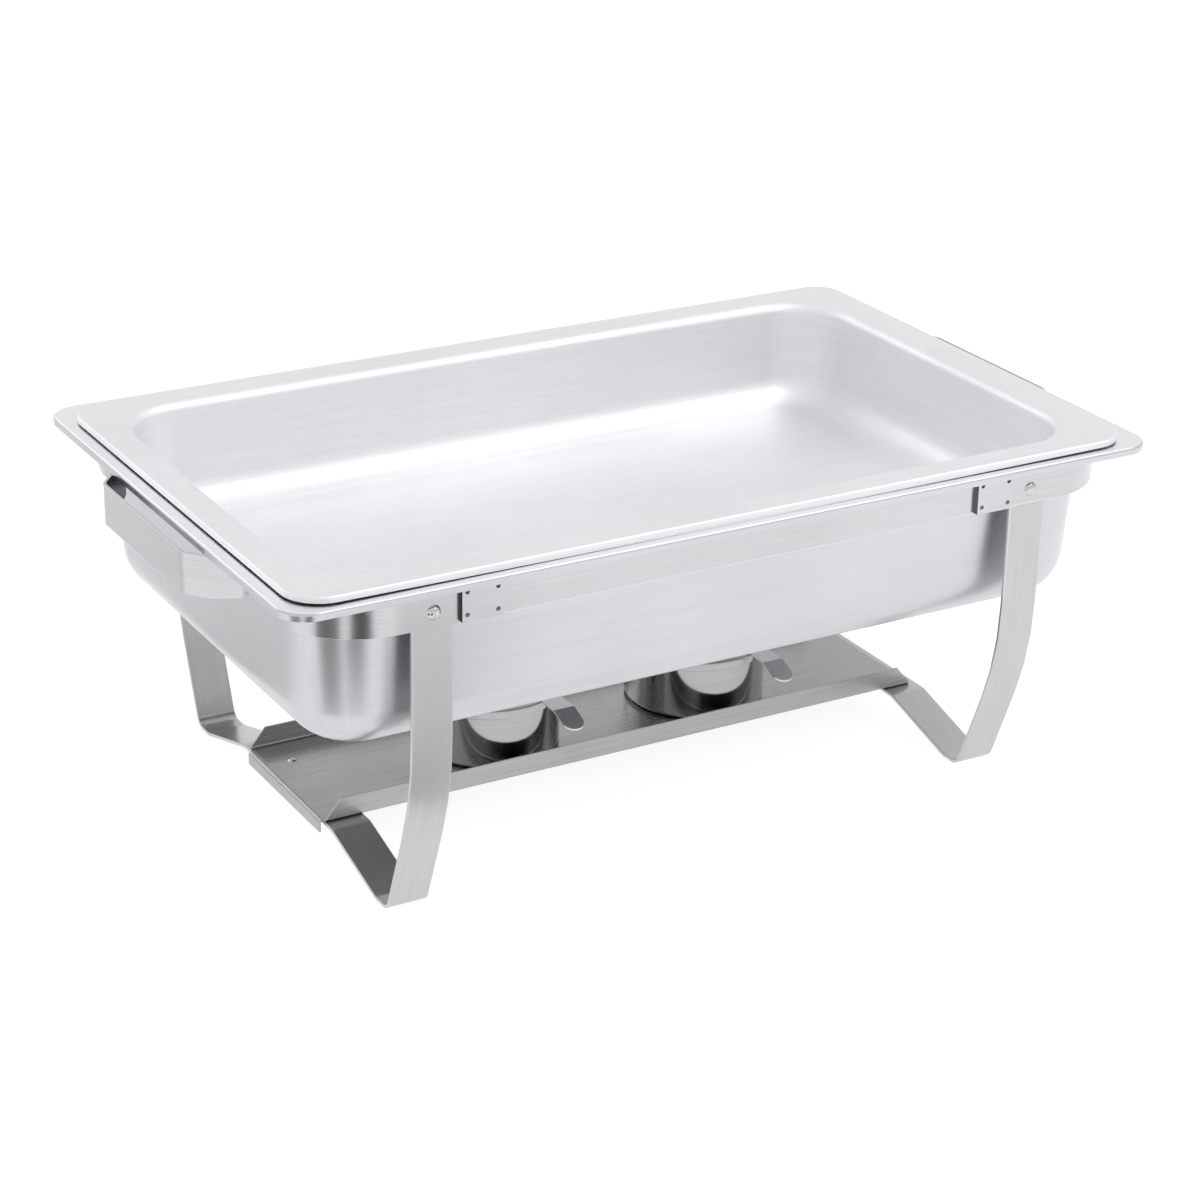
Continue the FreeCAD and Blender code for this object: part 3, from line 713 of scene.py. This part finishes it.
def steel(name, light, dark, roughness, grain, streak, relief, flat_grain=None, cloud=0.08,
          dents=0.0, worn=0.0, draw_marks=0.0, inside=0.0, painted_top_light=None, ends=0.0,
          dotted=None):
    """Stainless steel with a brushed grain.

    light and dark are the colours between which the grain and the smudges move it. grain is the
    frequency of the grain along X, Y and Z, and flat_grain is that of level surfaces. streak and
    cloud are how much the grain and the smudges change the roughness. relief and dents are the
    heights of the grain's bumps and of slow waves in the sheet. worn brightens the edges, and
    draw_marks adds upright lines where a wall turns a corner. inside puts painted shade on the
    faces that look towards the middle of the object, apart from those that look along +X.
    painted_top_light is the colour of a painted highlight on surfaces that look up. ends puts
    painted shade on the end faces that look along X either way. dotted names a splice plate
    whose weld dents get painted shade.
    """
    graph = Graph(name)
    nodes = graph.tree.nodes
    place_of = nodes.new("ShaderNodeTexCoord").outputs["Object"]
    geometry = nodes.new("ShaderNodeNewGeometry")
    normal = nodes.new("ShaderNodeSeparateXYZ")
    graph.feed(normal.inputs[0], geometry.outputs["Normal"])
    brushed = graph.noise(place_of, grain, *GRAIN_NOISE)
    if flat_grain:
        level = graph.between(graph.math("ABSOLUTE", normal.outputs["Z"]), *LEVEL_STEP)
        brushed = graph.mix(level, brushed, graph.noise(place_of, flat_grain, *GRAIN_NOISE))
    if draw_marks:
        turn = graph.math("MULTIPLY", normal.outputs["X"], normal.outputs["Y"])
        corner = graph.between(graph.math("ABSOLUTE", turn), *CORNER_STEP)
        lines = graph.noise(place_of, *DRAWN_NOISE)
        brushed = graph.mix(graph.math("MULTIPLY", corner, draw_marks), brushed, lines)
    smudges = graph.noise(place_of, *SMUDGE_NOISE)
    specks = graph.noise(place_of, *SPECK_NOISE)
    soiled = graph.between(smudges, *SMUDGE_STEP)
    scratched = graph.between(specks, *SPECK_STEP)
    streaked = graph.between(brushed, *GRAIN_STEP)
    shade = graph.math("ADD", graph.math("MULTIPLY", streaked, GRAIN_SHARE),
                       graph.math("MULTIPLY", soiled, SMUDGE_SHARE))
    color = graph.mix_color(shade, light, dark)
    rough = graph.math("SUBTRACT", brushed, NOISE_MIDDLE)
    rough = graph.math("MULTIPLY_ADD", rough, streak, roughness)
    clouded = graph.math("SUBTRACT", smudges, NOISE_MIDDLE)
    rough = graph.math("MULTIPLY_ADD", clouded, cloud, rough)
    rough = graph.math("MULTIPLY_ADD", scratched, streak * SCRATCH_SHARE, rough)
    # Painted highlight: surfaces that look up take a lighter colour.
    if painted_top_light:
        upward = graph.between(normal.outputs["Z"], *UPWARD_STEP)
        color = graph.mix_color(upward, color, painted_top_light)
    # Painted shade: faces that look along X either way are darkened.
    if ends:
        sideways = graph.between(graph.math("ABSOLUTE", normal.outputs["X"]), *SIDEWAYS_STEP)
        color = graph.mix_color(graph.math("MULTIPLY", sideways, ends), color, PAINTED_SHADE)
    if worn:
        edge = graph.between(geometry.outputs["Pointiness"], *EDGE_STEP)
        edge = graph.math("MULTIPLY", edge, graph.math("MULTIPLY_ADD", smudges, WORN_SMUDGES, worn))
        worn_light = tuple(min(value * WORN_GAIN, WORN_LIMIT) for value in light)
        color = graph.mix_color(edge, color, worn_light)
        rough = graph.mix(edge, rough, roughness * WORN_ROUGHNESS)
    # Painted shade: faces that look towards the middle, but not along +X, are darkened.
    if inside:
        outward = graph.vector("NORMALIZE", graph.vector("MULTIPLY", place_of, (1, 1, 0)))
        inward = graph.vector("DOT_PRODUCT", outward, geometry.outputs["Normal"])
        inward = graph.between(graph.math("MULTIPLY", inward, -1), *INWARD_STEP)
        rightward = graph.between(normal.outputs["X"], *RIGHTWARD_STEP)
        painted_inward_shade = graph.math("MULTIPLY", graph.math("MULTIPLY", inward, inside),
                                graph.math("SUBTRACT", 1, rightward))
        color = graph.mix_color(painted_inward_shade, color, PAINTED_SHADE)
    # Painted shade in the weld dents of the splice plates.
    if dotted:
        dot = graph.math("MULTIPLY", dent_dots(graph, place_of, dotted), DENT_SHADE)
        color = graph.mix_color(dot, color, PAINTED_SHADE)
    graph.feed(graph.shader.inputs["Base Color"], color)
    graph.feed(graph.shader.inputs["Roughness"], rough)
    graph.shader.inputs["Metallic"].default_value = 1
    height = graph.math("MULTIPLY", brushed, relief)
    if dents:
        height = graph.math("MULTIPLY_ADD", graph.noise(place_of, *WAVE_NOISE), dents, height)
    bump = nodes.new("ShaderNodeBump")
    bump.inputs["Strength"].default_value = 1
    bump.inputs["Distance"].default_value = BUMP_HEIGHT
    graph.feed(bump.inputs["Height"], height)
    graph.feed(graph.shader.inputs["Normal"], bump.outputs["Normal"])
    return graph.material


# ---- carried-over CAD nodes -------------------------------------------------------

WELD_GAP = 0.000002
BEVEL_SEGMENTS = 2
BEVEL_ANGLE = math.radians(35)
SHEET_EDGE = 0.0002
PLATE_EDGE = 0.0003


def finish_node(node, material, edge, smooth=True):
    """Give a CAD node its material, and round its edges by the width edge.

    smooth shades across those edges, else every face is shaded flat.
    """
    piece = NODES[node]
    for slot in piece.material_slots:
        slot.material = material
    weld = piece.modifiers.new("weld", "WELD")
    weld.merge_threshold = WELD_GAP
    bevel = piece.modifiers.new("edges", "BEVEL")
    bevel.width = edge
    bevel.segments = BEVEL_SEGMENTS
    bevel.limit_method = "ANGLE"
    bevel.angle_limit = BEVEL_ANGLE
    if smooth:
        piece.data.shade_smooth()
        even_normals(piece)


# ---- the scene --------------------------------------------------------------------

add_camera()
add_floor()
add_world()
for light in LIGHTS:
    add_area(*light)
for card in CARDS:
    add_card(*card)

food_steel = steel("food_pan_satin", light=(0.89, 0.895, 0.91), dark=(0.83, 0.835, 0.85),
                   roughness=0.50, grain=(14, 14, 520), flat_grain=(14, 520, 14),
                   streak=0.08, cloud=0.10, relief=0.005, dents=0.25)
# The water pan's surfaces that look up get a painted highlight.
water_steel = steel("water_pan_satin", light=(0.62, 0.62, 0.645), dark=(0.57, 0.57, 0.59),
                    roughness=0.30, grain=(10, 10, 620), flat_grain=(10, 620, 10),
                    streak=0.08, cloud=0.10, relief=0.005, dents=0.25,
                    draw_marks=0.8, painted_top_light=(0.90, 0.90, 0.92))
# The frame's inward faces get painted shade.
frame_steel = steel("frame_brushed", light=(0.60, 0.60, 0.62), dark=(0.53, 0.53, 0.545),
                    roughness=0.22, grain=(12, 12, 900),
                    streak=0.12, relief=0.012, dents=0.06, worn=0.4, inside=1.0)
leg_steel = steel("leg_brushed", light=(0.575, 0.565, 0.57), dark=(0.505, 0.50, 0.505),
                  roughness=0.30, grain=(900, 12, 12),
                  streak=0.14, relief=0.012, dents=0.06, worn=0.4)
# The splice plates get painted shade on their end faces and in their weld dents.
plate_steel = steel("plate_satin", light=(0.60, 0.60, 0.62), dark=(0.54, 0.54, 0.56),
                    roughness=0.26, grain=(40, 40, 900),
                    streak=0.10, relief=0.01, ends=0.85, dotted="front_right_splice_plate")
shelf_steel = steel("shelf_satin", light=(0.46, 0.45, 0.45), dark=(0.37, 0.365, 0.365),
                    roughness=0.27, grain=(12, 640, 640),
                    streak=0.08, cloud=0.10, relief=0.002, dents=0.15)
cup_steel = steel("cup_polished", light=(0.46, 0.46, 0.465), dark=(0.40, 0.40, 0.405),
                  roughness=0.10, grain=(30, 30, 700),
                  streak=0.05, cloud=0.05, relief=0.002, dents=0.08)
damper_steel = steel("damper_satin", light=(0.72, 0.72, 0.73), dark=(0.62, 0.62, 0.63),
                     roughness=0.34, grain=(700, 24, 24), streak=0.12, relief=0.012)
rivet_steel = steel("rivet_bright", light=(0.66, 0.66, 0.67), dark=(0.56, 0.56, 0.57),
                    roughness=0.14, grain=(300, 300, 300), streak=0.10, relief=0.01)

place(pan("food_pan", **FOOD_PAN), "food_pan", "food_pan", food_steel)
place(pan("water_pan", **WATER_PAN), "water_pan", "water_pan", water_steel)
for name, side in SIDES:
    place(end_rail(name + "_end_rail", side), name + "_end_rail", "frame", frame_steel)
    place(leg(name + "_leg"), name + "_leg", name + "_leg", leg_steel)
    place(fuel_cup(name + "_fuel_cup"), name + "_fuel_cup", name + "_cup", cup_steel)
    place(cup_lid(name + "_cup_lid"), name + "_cup_lid", name + "_lid", cup_steel)
    finish_node(name + "_damper", damper_steel, SHEET_EDGE)
    finish_node(name + "_damper_rivet", rivet_steel, SHEET_EDGE)
for name in ("front", "back"):
    place(side_rail(name + "_side_rail"), name + "_side_rail", "frame", frame_steel)
    for end, _ in SIDES:
        finish_node(name + "_" + end + "_splice_plate", plate_steel, PLATE_EDGE, smooth=False)
finish_node("fuel_shelf", shelf_steel, SHEET_EDGE)
finish_node("shelf_stud", rivet_steel, SHEET_EDGE)
place(pivot_rivets("leg_pivot_rivets"), "leg_pivot_rivets", "frame", rivet_steel)
